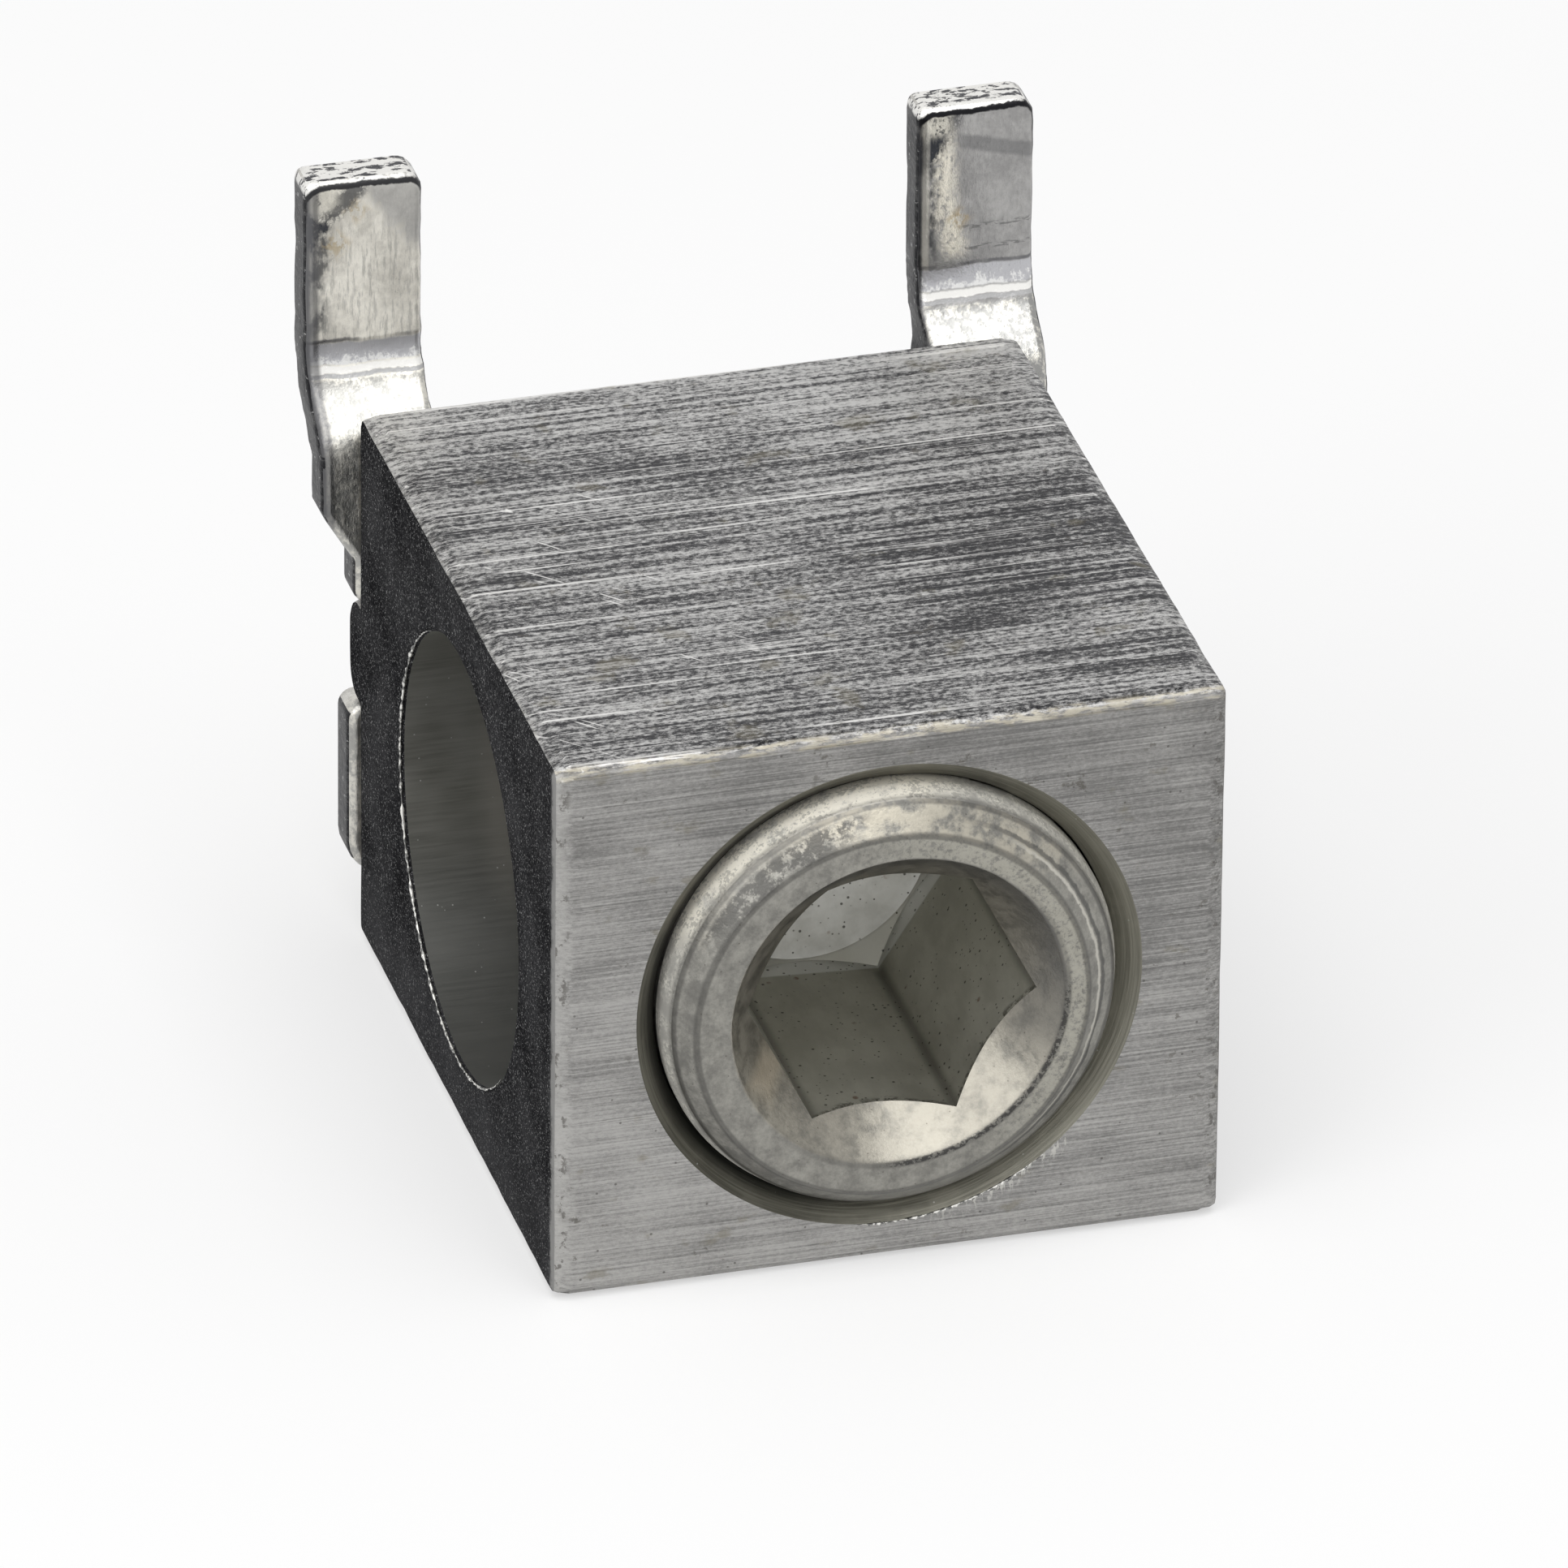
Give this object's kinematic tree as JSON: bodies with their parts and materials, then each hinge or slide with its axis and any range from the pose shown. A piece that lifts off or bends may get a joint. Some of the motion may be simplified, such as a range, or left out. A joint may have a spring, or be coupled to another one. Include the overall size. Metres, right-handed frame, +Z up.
{
  "type": "mechanical lug",
  "caption": "Set-screw cable lug: a square extruded body with a wire bore, a socket set screw across it, and a notched strap at its back with joggled tangs.",
  "frame": {"origin": "middle of the body's bottom face, which the lug stands on", "axes": "+Z up along the tangs, +Y from the driven end of the set screw towards the strap, X along the wire bore"},
  "size_m": [0.0282, 0.0338, 0.0306],
  "materials": {
    "extruded_aluminium": "bare extrusion with fine lines along its length, sawn ends dull and dark",
    "screw_tin_plate": "dull tin plate, mottled",
    "strap_tin_plate": "bright tin plate over copper alloy sheet, with faint yellow stains"
  },
  "bodies": {
    "lug": {"lug_body": "extruded_aluminium", "terminal_strap": "strap_tin_plate"},
    "screw": {"set_screw": "screw_tin_plate"}
  },
  "joints": [
    {"name": "screw_travel", "type": "slide", "parent": "lug", "child": "screw", "axis": [0, 1, 0], "range_m": [-0.00953, 0.00317]}
  ]
}
